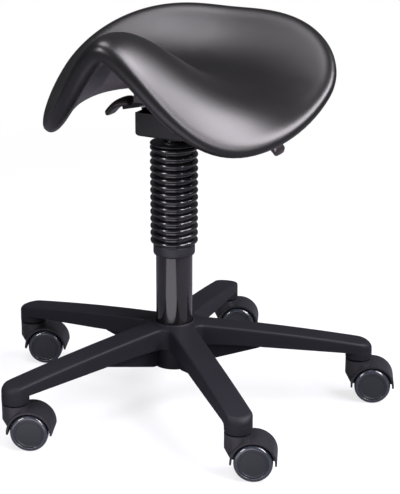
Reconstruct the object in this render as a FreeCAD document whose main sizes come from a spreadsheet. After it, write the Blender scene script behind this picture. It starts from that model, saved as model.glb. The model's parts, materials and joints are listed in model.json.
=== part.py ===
import FreeCAD, Part
import math
import os
import re
import Sketcher
from FreeCAD import Placement, Rotation, Vector

# Saddle stool on a five-arm base with twin-wheel castors, a gas lift under a rubber
# bellows, and a tilting saddle seat. Millimetres, +Z up. The origin is on the floor
# under the column's axis, the seat's nose points to -Y and the rider's left is +X.

# Driving dimensions, by group. The seat's reaches are measured from the column's axis.
DIMENSIONS = {
    # clearances
    "fit_gap": 0.05,
    "loose_gap": 0.3,
    # castors
    "wheel_radius": 25.0,
    "wheel_width": 16.5,
    "wheel_gap": 7.0,
    "tread_depth": 5.5,
    "tread_round": 4.5,
    "tread_round_inside": 1.5,
    "disc_inset": 0.6,
    "disc_dish_rim": 2.5,
    "castor_trail": 20.0,
    "castor_angle": 24.5,
    "axle_radius": 3.0,
    "axle_inset": 3.5,
    "hood_clearance": 2.5,
    "hood_wall": 2.5,
    "hood_recess": 1.0,
    "hood_drop": 2.0,
    "hood_crown": 4.0,
    "web_clearance": 0.7,
    "web_boss_radius": 8.0,
    "housing_radius": 18.0,
    "housing_depth": 21.0,
    "housing_taper": 14.0,
    "housing_foot_radius": 11.0,
    "stem_radius": 5.5,
    "stem_depth": 21.0,
    "stem_collar_radius": 8.0,
    "swivel_gap": 2.0,
    "ring_height": 3.0,
    "ring_depth": 1.0,
    "ring_above_boss": 8.0,
    # five-arm base
    "stem_circle": 257.0,
    "first_arm_angle": -42.4,
    "arm_count": 5,
    "arm_width": 36.4,
    "arm_wall": 4.0,
    "arm_edge_round": 3.0,
    "arm_rise": 31.0,
    "arm_knee_reach": 115.0,
    "knee_rise": 18.0,
    "boss_radius": 18.4,
    "boss_height": 26.0,
    "socket_depth": 21.0,
    "rib_width": 5.0,
    "rib_inset": 2.0,
    "hub_wall": 4.5,
    "hub_drop": 7.0,
    "hub_lip": 1.0,
    "hub_corner_round": 12.0,
    # column and gas lift
    "column_radius": 25.0,
    "column_taper": 0.8,
    "column_wall": 2.0,
    "column_foot": 2.0,
    "column_plate": 3.0,
    "column_rise": 114.0,
    "bush_length": 80.0,
    "bush_flange": 3.0,
    "rod_radius": 5.0,
    "rod_hole_gap": 0.6,
    "rod_collar_depth": 3.0,
    "rod_collar_height": 3.0,
    "bearing_radius": 12.0,
    "bearing_height": 4.0,
    "clip_radius": 9.0,
    "clip_height": 1.2,
    "buffer_radius": 11.0,
    "buffer_height": 6.0,
    "lift_radius": 14.0,
    "lift_wall": 1.8,
    "lift_plate": 4.0,
    "lift_length": 206.85,
    "lift_stroke": 100.0,
    "lift_buffer_gap": 4.0,
    "piston_height": 8.0,
    "cone_length": 29.0,
    "cone_taper": 0.8,
    "valve_pin_radius": 3.0,
    "valve_pin_foot": 2.0,
    "valve_pin_rise": 6.5,
    "valve_pin_length": 21.0,
    # bellows
    "cuff_clearance": 0.4,
    "cuff_wall": 3.1,
    "cuff_height": 15.0,
    "cuff_overlap": 18.0,
    "hose_wall": 1.6,
    "rib_depth": 5.5,
    "rib_count": 14,
    "rib_share": 0.66,
    "rib_shoulder": 0.16,
    "bellows_lid": 2.0,
    "bellows_gap": 12.0,
    # tilt mechanism
    "housing_height": 29.0,
    "housing_half_width": 35.0,
    "housing_front": 42.0,
    "housing_rear": 58.0,
    "housing_wall": 3.0,
    "housing_corner_round": 6.0,
    "socket_wall": 6.0,
    "pivot_rise": 22.0,
    "pivot_radius": 4.0,
    "pivot_length": 10.0,
    "pivot_inside": 5.0,
    "bracket_rise": 25.0,
    "bracket_plate": 3.0,
    "bracket_overhang": 3.5,
    "ear_half_length": 20.0,
    "ear_drop": 10.0,
    "ear_window_half_length": 10.5,
    "ear_window_rise": 9.0,
    "bolt_spacing_half": 26.0,
    "bolt_front_reach": 35.0,
    "bolt_rear_reach": 25.0,
    "bolt_radius": 3.0,
    "bolt_head_radius": 5.5,
    "bolt_head_height": 3.5,
    "bolt_length": 9.0,
    "nut_wall": 1.2,
    "nut_flange_depth": 3.8,
    "nut_flange_height": 1.2,
    "nut_height": 7.0,
    "clamp_reach": 40.0,
    "clamp_drop": 7.0,
    "clamp_radius": 4.0,
    "clamp_head_radius": 7.0,
    "clamp_head_height": 5.0,
    "fork_offset": 12.0,
    "fork_thickness": 3.0,
    "fork_half_length": 12.0,
    "fork_drop": 6.5,
    "fork_notch_side": 1.2,
    "fork_notch_rise": 8.5,
    # levers
    "lever_width": 12.0,
    "lever_thickness": 5.0,
    "lever_over_valve": 0.5,
    "lever_past_valve": 4.0,
    "lever_pivot_reach": 27.0,
    "lever_pivot_radius": 2.0,
    "lever_pivot_wall": 2.4,
    "lever_pin_end": 1.0,
    "lever_ear_half_length": 5.0,
    "lever_ear_thickness": 2.0,
    "height_lever_reach": 98.0,
    "height_lever_drop": 17.0,
    "tilt_lever_length": 93.0,
    "tilt_lever_drop": 22.0,
    "cam_clearance": 14.0,
    "cam_radius": 7.0,
    "cam_cheek": 2.0,
    "cam_pin_radius": 2.5,
    "grip_length": 40.0,
    "grip_width": 24.0,
    "grip_thickness": 9.0,
    "grip_drop": 9.0,
    "grip_insert": 12.0,
    "grip_tip_share": 0.55,
    "grip_top_share": 0.8,
    # saddle seat
    "nose_reach": 184.0,
    "rear_reach": 159.0,
    "widest_reach": 45.0,
    "seat_half_width": 194.0,
    "front_fullness": 1.95,
    "rear_fullness": 2.2,
    "pan_rise": 31.5,
    "pan_reach": 55.0,
    "crest_rise": 81.5,
    "crest_reach": 150.0,
    "rear_rise": 71.5,
    "ridge_round": 64.0,
    "flap_fall_start": 0.02,
    "flap_fall": 1.02,
    "flap_fall_nose": 1.73,
    "flap_rise_rear": 1.29,
    "pad_mid": 29.0,
    "pad_nose": 19.0,
    "pad_rim": 20.0,
    "rim_bulge": 6.0,
    "shell_thickness": 4.0,
    "shell_share": 0.72,
    "shell_nose_setback": 34.0,
    "shell_rear_setback": 24.0,
}

# Sizes and heights that follow from the driving dimensions, from the floor up.
WORKED_OUT = {
    "hood_radius": "wheel_radius + hood_clearance + hood_wall",
    "hood_width": "2 * (wheel_gap + wheel_width - hood_recess)",
    "hood_foot": "wheel_radius - hood_drop",
    "web_width": "2 * (wheel_gap - web_clearance)",
    "axle_length": "2 * (wheel_gap + wheel_width - axle_inset)",
    "castor_height": "wheel_radius + hood_radius + hood_crown",
    "housing_waist": "castor_height - housing_depth",
    "housing_foot": "housing_waist - housing_taper",
    "stem_bottom": "castor_height - stem_depth",
    "boss_bottom": "castor_height + swivel_gap",
    "boss_top": "boss_bottom + boss_height",
    "hub_bottom": "boss_bottom - hub_drop",
    "hub_top": "boss_top + arm_rise",
    "hub_radius": "column_radius + hub_wall",
    "skirt_inner": "boss_bottom + knee_rise",
    "column_bottom": "hub_bottom + column_foot",
    "column_top": "hub_top + column_rise",
    "column_foot_radius": "column_radius - column_taper",
    "rod_hole_radius": "rod_radius + rod_hole_gap",
    "rod_collar_radius": "rod_radius + rod_collar_depth",
    "bearing_bottom": "column_bottom + column_plate + fit_gap",
    "collar_bottom": "bearing_bottom + bearing_height + fit_gap",
    "buffer_bottom": "collar_bottom + rod_collar_height + fit_gap",
    "lift_bottom": "buffer_bottom + buffer_height + lift_buffer_gap + lift_stroke",
    "piston_bottom": "lift_bottom + lift_plate + loose_gap",
    "housing_bottom": "lift_bottom + lift_length",
    "housing_top": "housing_bottom + housing_height",
    "cone_top": "housing_bottom + cone_length",
    "cone_top_radius": "lift_radius - cone_taper",
    "socket_radius": "lift_radius + socket_wall",
    "bellows_bottom": "column_top - cuff_overlap",
    "bellows_top": "housing_bottom - bellows_gap",
    "bellows_bore_radius": "column_radius + cuff_clearance",
    "cuff_radius": "bellows_bore_radius + cuff_wall",
    "bellows_valley_radius": "bellows_bore_radius + hose_wall",
    "bellows_radius": "bellows_valley_radius + rib_depth",
    "pivot_height": "housing_bottom + pivot_rise",
    "bracket_top": "pivot_height + bracket_rise",
    "bracket_bottom": "bracket_top - bracket_plate",
    "bracket_front": "housing_front + bracket_overhang",
    "bracket_rear": "housing_rear + bracket_overhang",
    "ear_bottom": "pivot_height - ear_drop",
    "ear_window_bottom": "pivot_height + ear_window_rise",
    "nut_radius": "bolt_radius + nut_wall",
    "nut_flange_radius": "nut_radius + nut_flange_depth",
    "clamp_height": "pivot_height - clamp_drop",
    "fork_bottom": "clamp_height - fork_drop",
    "fork_notch_half": "clamp_radius + fork_notch_side",
    "fork_notch_top": "clamp_height + fork_notch_rise",
    "lever_bottom": "cone_top + valve_pin_rise + lever_over_valve",
    "lever_middle": "lever_bottom + lever_thickness / 2",
    "cam_offset": "housing_half_width + cam_clearance",
    "cam_length": "lever_width + 2 * cam_cheek",
    "pan_height": "bracket_top + pan_rise",
    "crest_height": "pan_height + crest_rise",
    "rear_height": "pan_height + rear_rise",
}

doc = FreeCAD.newDocument("saddle_stool")


def linked(text, sheet_of_text=""):
    """An expression with every size in it tied to the sheet that holds it."""
    def tied(word):
        if word[0] in DIMENSIONS:
            return "Dims." + word[0]
        if word[0] in WORKED_OUT and sheet_of_text != "Sizes":
            return "Sizes." + word[0]
        return word[0]
    return re.sub(r"[a-z_]+", tied, text)


def filled_sheet(name, rows):
    """A spreadsheet with a name and a value on each row, and the name as the value's alias."""
    page = doc.addObject("Spreadsheet::Sheet", name)
    for row, (alias, value) in enumerate(rows.items(), start=1):
        page.set(f"A{row}", alias)
        page.set(f"B{row}", value)
        page.setAlias(f"B{row}", alias)
    doc.recompute()
    return page


dims = filled_sheet("Dims", {alias: str(number) for alias, number in DIMENSIONS.items()})
sizes = filled_sheet("Sizes", {alias: "=" + linked(text, "Sizes") for alias, text in WORKED_OUT.items()})

PIECES = []


def size(alias):
    """The number that the spreadsheets hold under an alias."""
    return float((dims if alias in DIMENSIONS else sizes).get(alias))


def bind(item, **settings):
    for name, text in settings.items():
        item.setExpression(name, linked(text))


def put(item, x="0", y="0", z="0", along="Z"):
    """Place an item, its own Z axis turned to lie along the named axis."""
    turns = {"Z": Rotation(), "Y": Rotation(Vector(1, 0, 0), -90), "X": Rotation(Vector(0, 1, 0), 90)}
    item.Placement = Placement(Vector(0, 0, 0), turns[along])
    for letter, text in zip("xyz", (x, y, z)):
        item.setExpression("Placement.Base." + letter, linked(text))
    return item


def cylinder(name, radius, height, x="0", y="0", z="0", along="Z"):
    item = doc.addObject("Part::Cylinder", name)
    bind(item, Radius=radius, Height=height)
    return put(item, x, y, z, along)


def cone(name, lower, upper, height, x="0", y="0", z="0"):
    item = doc.addObject("Part::Cone", name)
    bind(item, Radius1=lower, Radius2=upper, Height=height)
    return put(item, x, y, z)


def box(name, low, high):
    """A box between two corners, each three expressions."""
    item = doc.addObject("Part::Box", name)
    spans = [f"({b}) - ({a})" for a, b in zip(low, high)]
    bind(item, Length=spans[0], Width=spans[1], Height=spans[2])
    return put(item, *low)


def fuse(name, *items):
    item = doc.addObject("Part::MultiFuse", name)
    item.Shapes = list(items)
    return item


def cut(name, base, *tools):
    """Take the tools from the base. Tools run 1 mm past the faces that they open."""
    item = doc.addObject("Part::Cut", name)
    item.Base = base
    item.Tool = tools[0] if len(tools) == 1 else fuse(name + "_tools", *tools)
    return item


def common(name, *items):
    item = doc.addObject("Part::MultiCommon", name)
    item.Shapes = list(items)
    return item


def group(name, *items):
    item = doc.addObject("Part::Compound", name)
    item.Links = list(items)
    return item


def piece(label, item):
    """Register a finished sub-part under the name of its node."""
    item.Label = label
    PIECES.append(item)
    return item


def plane(body, role):
    return next(item for item in body.Origin.OriginFeatures if item.Role == role)


def outline(body, name, points):
    """A closed sketch in the body's XZ plane, each corner held by two expressions."""
    sketch = body.newObject("Sketcher::SketchObject", name)
    sketch.AttachmentSupport = [(plane(body, "XZ_Plane"), "")]
    sketch.MapMode = "FlatFace"
    count = len(points)
    turn = 2 * math.pi / count
    start = [Vector(100 + 50 * math.cos(turn * i), 100 + 50 * math.sin(turn * i), 0) for i in range(count)]
    for i in range(count):
        sketch.addGeometry(Part.LineSegment(start[i], start[(i + 1) % count]))
    for i in range(count):
        sketch.addConstraint(Sketcher.Constraint("Coincident", i, 2, (i + 1) % count, 1))
    for i, (across, up) in enumerate(points):
        for kind, letter, at, text in (("DistanceX", "x", start[i].x, across), ("DistanceY", "y", start[i].y, up)):
            index = sketch.addConstraint(Sketcher.Constraint(kind, -1, 1, i, 1, at))
            sketch.renameConstraint(index, f"{letter}{i}")
            sketch.setExpression(f"Constraints.{letter}{i}", linked(text))
    return sketch


def disc_sketch(body, name, radius, reach, height):
    """A circle on the body's X axis, at a height above its XY plane."""
    sketch = body.newObject("Sketcher::SketchObject", name)
    sketch.AttachmentSupport = [(plane(body, "XY_Plane"), "")]
    sketch.MapMode = "FlatFace"
    sketch.setExpression("AttachmentOffset.Base.z", linked(height))
    sketch.addGeometry(Part.Circle(Vector(100, 0, 0), Vector(0, 0, 1), 10))
    held = (
        ("reach", Sketcher.Constraint("DistanceX", -1, 1, 0, 3, 100.0), reach),
        ("radius", Sketcher.Constraint("Radius", 0, 10.0), radius),
    )
    sketch.addConstraint(Sketcher.Constraint("PointOnObject", 0, 3, -1))
    for label, constraint, text in held:
        sketch.renameConstraint(sketch.addConstraint(constraint), label)
        sketch.setExpression("Constraints." + label, linked(text))
    return sketch


def turned(name, points):
    """A body turned about the Z axis from its half outline."""
    body = doc.addObject("PartDesign::Body", name)
    turn = body.newObject("PartDesign::Revolution", name + "_turn")
    sketch = outline(body, name + "_outline", points)
    turn.Profile = sketch
    turn.ReferenceAxis = (sketch, ["V_Axis"])
    turn.Angle = 360
    body.Tip = turn
    return body


def patterned(body, name, features):
    """Repeat features round the body's Z axis, once for each arm."""
    pattern = body.newObject("PartDesign::PolarPattern", name)
    pattern.Originals = features
    pattern.Axis = (plane(body, "Z_Axis"), [""])
    pattern.Angle = 360
    bind(pattern, Occurrences="arm_count")
    body.Tip = pattern
    return pattern


def grooved(body, name, points):
    """Turn an outline round the body's Z axis and take it away."""
    groove = body.newObject("PartDesign::Groove", name)
    sketch = outline(body, name + "_outline", points)
    groove.Profile = sketch
    groove.ReferenceAxis = (sketch, ["V_Axis"])
    groove.Angle = 360
    body.Tip = groove
    return groove


def edges_where(shape, test):
    """The names of a shape's edges that pass a test."""
    return [f"Edge{i}" for i, edge in enumerate(shape.Edges, start=1) if test(edge)]


# Five-arm base: a star of hollow arms with a rib in each, a hub, and a boss with a stem socket.
def five_star_base():
    body = doc.addObject("PartDesign::Body", "five_star_base")
    deck_at_hub = "hub_top - hub_lip"
    arm = body.newObject("PartDesign::Pad", "arm")
    arm.Profile = outline(body, "arm_outline", [
        ("0", "boss_bottom"), ("stem_circle", "boss_bottom"), ("stem_circle", "hub_top"), ("0", "hub_top"),
    ])
    arm.Midplane = True
    bind(arm, Length="arm_width")
    star = patterned(body, "star", [arm])
    doc.recompute()

    half_width = size("arm_width") / 2
    corner_reach = half_width / math.sin(math.pi / size("arm_count"))

    def is_hub_corner(edge):
        upright = len(edge.Vertexes) == 2 and abs(edge.tangentAt(edge.FirstParameter).z) > 0.99
        middle = edge.CenterOfMass
        return upright and abs(math.hypot(middle.x, middle.y) - corner_reach) < 0.5

    corners = body.newObject("PartDesign::Fillet", "hub_corners")
    corners.Base = (star, edges_where(star.Shape, is_hub_corner))
    bind(corners, Radius="hub_corner_round")
    body.Tip = corners

    beyond = "stem_circle + boss_radius"
    grooved(body, "deck", [
        ("0", deck_at_hub),
        ("column_radius", deck_at_hub),
        ("stem_circle", "boss_top"),
        (beyond, "boss_top"),
        (beyond, "hub_top + 1"),
        ("0", "hub_top + 1"),
    ])
    skirt = grooved(body, "skirt", [
        ("0", "boss_bottom - 1"),
        ("stem_circle", "boss_bottom - 1"),
        ("stem_circle", "boss_bottom"),
        ("arm_knee_reach", "skirt_inner"),
        ("0", "skirt_inner"),
    ])
    doc.recompute()

    tip_reach = size("stem_circle") - 1

    def is_deck_edge(edge):
        middle = edge.CenterOfMass
        reach = math.hypot(middle.x, middle.y)
        deck = size("boss_top") - 0.5
        flat = abs(edge.tangentAt(edge.FirstParameter).z) < 0.5
        return flat and middle.z > deck and corner_reach < reach < tip_reach

    deck_edges = body.newObject("PartDesign::Fillet", "deck_edges")
    deck_edges.Base = (skirt, edges_where(skirt.Shape, is_deck_edge))
    bind(deck_edges, Radius="arm_edge_round")
    body.Tip = deck_edges

    hub_sketch = outline(body, "hub_outline", [
        ("0", "hub_bottom"),
        ("hub_radius", "hub_bottom"),
        ("hub_radius", "hub_top - 2 * arm_edge_round"),
        ("hub_radius - arm_edge_round", "hub_top"),
        ("0", "hub_top"),
    ])
    hub = body.newObject("PartDesign::Revolution", "hub")
    hub.Profile = hub_sketch
    hub.ReferenceAxis = (hub_sketch, ["V_Axis"])
    hub.Angle = 360

    boss = body.newObject("PartDesign::Pad", "boss")
    boss.Profile = disc_sketch(body, "boss_circle", "boss_radius", "stem_circle", "boss_bottom")
    bind(boss, Length="boss_top - boss_bottom")

    below = "hub_bottom - 10"
    channel_start = "hub_radius + arm_wall"
    channel_end = "stem_circle - boss_radius - arm_wall / 2"
    channel = body.newObject("PartDesign::Pocket", "channel")
    channel.Profile = outline(body, "channel_outline", [
        (channel_start, below),
        (channel_end, below),
        (channel_end, "boss_top - arm_wall"),
        (channel_start, "hub_top - 1.5 * arm_wall"),
    ])
    channel.Midplane = True
    bind(channel, Length="arm_width - 2 * arm_wall")

    rib = body.newObject("PartDesign::Pad", "rib")
    rib.Profile = outline(body, "rib_outline", [
        ("hub_radius - 1", "hub_bottom + rib_inset"),
        ("hub_radius + 2 * arm_wall", "hub_bottom + rib_inset"),
        ("arm_knee_reach", "skirt_inner - arm_wall"),
        (f"{channel_end} + 1", "boss_bottom + rib_inset"),
        (f"{channel_end} + 1", "boss_top - arm_wall / 2"),
        ("hub_radius - 1", "hub_top - arm_wall"),
    ])
    rib.Midplane = True
    bind(rib, Length="rib_width")

    stem_socket = body.newObject("PartDesign::Pocket", "stem_socket")
    stem_socket.Profile = disc_sketch(
        body, "socket_circle", "stem_radius + fit_gap", "stem_circle", "boss_bottom")
    stem_socket.Reversed = True
    bind(stem_socket, Length="socket_depth")
    patterned(body, "arm_details", [boss, channel, rib, stem_socket])

    grooved(body, "column_bore", [
        ("0", "hub_bottom - 1"),
        ("column_foot_radius + fit_gap", "hub_bottom - 1"),
        ("column_foot_radius + fit_gap", "column_bottom"),
        ("column_radius + fit_gap", "hub_top"),
        ("column_radius + fit_gap", "hub_top + 1"),
        ("0", "hub_top + 1"),
    ])
    bind(body, **{"Placement.Rotation.Angle": "first_arm_angle"})
    return piece("five_star_base", body)


# Stem and spring ring of each castor, standing in the arms' sockets.
def castor_stems():
    stems = []
    rings = []
    collar_bottom = "boss_bottom - swivel_gap + fit_gap"
    collar_top = "boss_bottom - fit_gap"
    ring_bottom = "boss_bottom + ring_above_boss"
    for number in range(1, int(size("arm_count")) + 1):
        name = f"stem_{number}_"
        angle = f"(first_arm_angle + 360 / arm_count * {number - 1})"
        at = {"x": f"stem_circle * cos({angle})", "y": f"stem_circle * sin({angle})"}
        shaft = cylinder(
            name + "shaft", "stem_radius", "boss_bottom + socket_depth - loose_gap - stem_bottom",
            z="stem_bottom", **at)
        collar = cylinder(
            name + "collar", "stem_collar_radius", f"({collar_top}) - ({collar_bottom})", z=collar_bottom, **at)
        blank = cylinder(name + "groove_blank", "stem_radius + 1", "ring_height", z=ring_bottom, **at)
        core = cylinder(name + "groove_core", "stem_radius - ring_depth", "ring_height", z=ring_bottom, **at)
        groove = cut(name + "groove", blank, core)
        stems.append(cut(name + "steel", fuse(name + "whole", shaft, collar), groove))

        inside = {"z": f"{ring_bottom} + fit_gap", **at}
        ring_blank = cylinder(name + "ring_blank", "stem_radius", "ring_height - 2 * fit_gap", **inside)
        ring_bore = cylinder(
            name + "ring_bore", "stem_radius - ring_depth + fit_gap", "ring_height - 2 * fit_gap", **inside)
        split = box(
            name + "ring_split",
            (at["x"], f"{at['y']} - 1", ring_bottom),
            (f"{at['x']} + 2 * stem_radius", f"{at['y']} + 1", f"{ring_bottom} + ring_height"))
        rings.append(cut(name + "ring", ring_blank, ring_bore, split))
    piece("castor_stems", group("castor_stems", *stems))
    piece("stem_rings", group("stem_rings", *rings))


# One castor: the body with its hood, the axle, and two wheels with their treads.
def castor(number):
    name = f"castor_{number}_"
    angle = f"(first_arm_angle + 360 / arm_count * {number - 1})"
    axle_line = {"x": "castor_trail", "z": "wheel_radius", "along": "Y"}

    def stand(label, item):
        """Move an item from the castor's own frame to its arm's boss."""
        bind(item, **{
            "Placement.Base.x": f"stem_circle * cos({angle})",
            "Placement.Base.y": f"stem_circle * sin({angle})",
            "Placement.Rotation.Angle": "castor_angle",
        })
        return piece(name + label, item)

    hood_round = cylinder(name + "hood_round", "hood_radius", "hood_width", y="-hood_width / 2", **axle_line)
    above = box(
        name + "above_foot",
        ("castor_trail - hood_radius", "-hood_width", "hood_foot"),
        ("castor_trail + hood_radius", "hood_width", "wheel_radius + hood_radius"))
    hood = common(name + "hood", hood_round, above)
    housing = cylinder(
        name + "housing", "housing_radius", "boss_bottom - swivel_gap - housing_waist", z="housing_waist")
    foot = cone(
        name + "housing_foot", "housing_foot_radius", "housing_radius", "housing_waist - housing_foot",
        z="housing_foot")
    web_boss = cylinder(name + "web_boss", "web_boss_radius", "web_width", y="-web_width / 2", **axle_line)
    solid = fuse(name + "casting", hood, housing, foot, web_boss)
    well = "hood_radius - hood_wall"
    left_well = cylinder(name + "left_well", well, "hood_width", y="web_width / 2", **axle_line)
    right_well = cylinder(name + "right_well", well, "hood_width", y="-web_width / 2 - hood_width", **axle_line)
    axle_bore = cylinder(
        name + "axle_bore", "axle_radius + fit_gap", "web_width", y="-web_width / 2", **axle_line)
    stem_bore = cylinder(
        name + "stem_bore", "stem_radius + fit_gap", "boss_bottom - stem_bottom + fit_gap",
        z="stem_bottom - loose_gap")
    stand("body", cut(name + "shaped", solid, left_well, right_well, axle_bore, stem_bore))
    stand("axle", group(name + "axle_steel", cylinder(
        name + "axle_rod", "axle_radius", "axle_length", y="-axle_length / 2", **axle_line)))

    disc_radius = "wheel_radius - tread_depth"
    for side, sign in (("left", 1), ("right", -1)):
        part = f"{name}{side}_"
        inner = "wheel_gap" if sign > 0 else "-wheel_gap - wheel_width"
        face = "wheel_gap + wheel_width - disc_inset" if sign > 0 else "-wheel_gap - wheel_width"
        disc = cylinder(
            part + "disc", f"{disc_radius} - fit_gap", "wheel_width - disc_inset",
            y="wheel_gap" if sign > 0 else "-wheel_gap - wheel_width + disc_inset", **axle_line)
        bore_depth = "axle_length / 2 - wheel_gap + loose_gap"
        bore = cylinder(
            part + "bore", "axle_radius + fit_gap", bore_depth,
            y="wheel_gap" if sign > 0 else f"-wheel_gap - ({bore_depth})", **axle_line)
        dish = cylinder(
            part + "dish", f"{disc_radius} - disc_dish_rim", "disc_inset * 2",
            y="wheel_gap + wheel_width - disc_inset * 2" if sign > 0 else face, **axle_line)
        stand(f"wheel_{side}", cut(part + "wheel", disc, bore, dish))

        band = cylinder(part + "band", "wheel_radius", "wheel_width", y=inner, **axle_line)
        eye = cylinder(part + "eye", disc_radius, "wheel_width", y=inner, **axle_line)
        rounded = doc.addObject("Part::Fillet", part + "band_round")
        rounded.Base = band
        doc.recompute()
        middle = size("wheel_gap") + size("wheel_width") / 2
        rims = []
        for index, edge in enumerate(band.Shape.Edges, start=1):
            if edge.Closed:
                outside = abs(edge.CenterOfMass.y) > middle
                radius = size("tread_round") if outside else size("tread_round_inside")
                rims.append((index, radius, radius))
        rounded.Edges = rims
        stand(f"tread_{side}", cut(part + "tread", rounded, eye))


# Column: the steel tube in the hub, and the plastic bush that guides the gas lift.
def column():
    inner = "column_radius - column_wall"
    piece("column_tube", turned("column_tube", [
        ("rod_hole_radius", "column_bottom"),
        ("column_foot_radius", "column_bottom"),
        ("column_radius", "hub_top"),
        ("column_radius", "column_top"),
        (inner, "column_top"),
        (inner, "column_bottom + column_plate"),
        ("rod_hole_radius", "column_bottom + column_plate"),
    ]))
    guide = "lift_radius + fit_gap"
    piece("column_bush", turned("column_bush", [
        (guide, "column_top - bush_length"),
        (f"{inner} - fit_gap", "column_top - bush_length"),
        (f"{inner} - fit_gap", "column_top + fit_gap"),
        ("column_radius", "column_top + fit_gap"),
        ("column_radius", "column_top + bush_flange"),
        (guide, "column_top + bush_flange"),
    ]))


# Lower end of the gas lift: rod, thrust bearing, clip and rubber buffer.
def lift_rod():
    clip_bottom = "column_bottom - fit_gap - clip_height"
    piece("thrust_bearing", cut(
        "thrust_bearing",
        cylinder("bearing_blank", "bearing_radius", "bearing_height", z="bearing_bottom"),
        cylinder("bearing_bore", "rod_radius + fit_gap", "bearing_height", z="bearing_bottom")))
    piece("rod_clip", cut(
        "rod_clip",
        cylinder("clip_blank", "clip_radius", "clip_height", z=clip_bottom),
        cylinder("clip_bore", "rod_radius - ring_depth + fit_gap", "clip_height", z=clip_bottom),
        box("clip_mouth", ("0", "-rod_radius / 2", clip_bottom),
            ("clip_radius", "rod_radius / 2", f"{clip_bottom} + clip_height"))))
    neck = "rod_radius - ring_depth"
    piston = "lift_radius - lift_wall - fit_gap"
    piece("piston_rod", turned("piston_rod", [
        ("0", "hub_bottom - fit_gap"),
        ("rod_radius", "hub_bottom - fit_gap"),
        ("rod_radius", f"{clip_bottom} - fit_gap"),
        (neck, f"{clip_bottom} - fit_gap"),
        (neck, f"{clip_bottom} + clip_height + fit_gap"),
        ("rod_radius", f"{clip_bottom} + clip_height + fit_gap"),
        ("rod_radius", "collar_bottom"),
        ("rod_collar_radius", "collar_bottom"),
        ("rod_collar_radius", "collar_bottom + rod_collar_height"),
        ("rod_radius", "collar_bottom + rod_collar_height"),
        ("rod_radius", "piston_bottom"),
        (piston, "piston_bottom"),
        (piston, "piston_bottom + piston_height"),
        ("0", "piston_bottom + piston_height"),
    ]))
    piece("bump_stop", cut(
        "bump_stop",
        cylinder("buffer_blank", "buffer_radius", "buffer_height", z="buffer_bottom"),
        cylinder("buffer_bore", "rod_radius + fit_gap", "buffer_height", z="buffer_bottom")))


# Upper end of the gas lift: the pressure tube with its cone, and the valve pin.
def gas_lift():
    inner = "lift_radius - lift_wall"
    piece("gas_cylinder", turned("gas_cylinder", [
        ("rod_radius + fit_gap", "lift_bottom"),
        ("lift_radius", "lift_bottom"),
        ("lift_radius", "housing_bottom"),
        ("cone_top_radius", "cone_top"),
        ("valve_pin_radius + fit_gap", "cone_top"),
        ("valve_pin_radius + fit_gap", "cone_top - lift_plate * 2"),
        ("cone_top_radius - lift_wall", "cone_top - lift_plate * 2"),
        (inner, "housing_bottom - lift_plate"),
        (inner, "lift_bottom + lift_plate"),
        ("rod_radius + fit_gap", "lift_bottom + lift_plate"),
    ]))
    pin_bottom = "cone_top + valve_pin_rise - valve_pin_length"
    piece("release_pin", fuse(
        "release_pin",
        cylinder("pin_shank", "valve_pin_radius", "valve_pin_length", z=pin_bottom),
        cylinder("pin_foot", "valve_pin_radius + valve_pin_foot", "lift_plate / 2", z=pin_bottom)))


def solid_ring_stack(rings):
    """A solid through level circles, each a radius and a height, joined by straight walls."""
    wires = [Part.Wire(Part.Circle(Vector(0, 0, height), Vector(0, 0, 1), radius).toShape())
             for radius, height in rings]
    return Part.makeLoft(wires, True, True)


# Bellows: a rubber hose with a cuff below, round ribs and a flat lid above.
def bellows():
    bottom = size("bellows_bottom")
    cuff_top = bottom + size("cuff_height")
    lid_bottom = size("bellows_top") - size("bellows_lid")
    count = int(size("rib_count"))
    pitch = (lid_bottom - cuff_top) / count
    crest = size("bellows_radius")
    valley = size("bellows_valley_radius")
    shoulder = pitch * size("rib_shoulder")
    lid_step = 0.2
    rings = [(size("cuff_radius"), bottom), (size("cuff_radius"), cuff_top - shoulder)]
    for index in range(count):
        low = cuff_top + pitch * index
        high = low + pitch * size("rib_share")
        rings += [(valley, low), (crest, low + shoulder), (crest, high), (valley, high + shoulder)]
    rings += [(valley, lid_bottom), (crest, lid_bottom + lid_step), (crest, size("bellows_top"))]
    hose = solid_ring_stack(rings)
    bore = Part.makeCylinder(size("bellows_bore_radius"), lid_bottom - bottom, Vector(0, 0, bottom))
    mouth = Part.makeCylinder(
        size("lift_radius") + size("loose_gap"), 2 * size("bellows_lid"), Vector(0, 0, lid_bottom - 1))
    item = doc.addObject("Part::Feature", "bellows")
    item.Shape = hose.cut(bore).cut(mouth)
    return piece("bellows", item)


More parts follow.
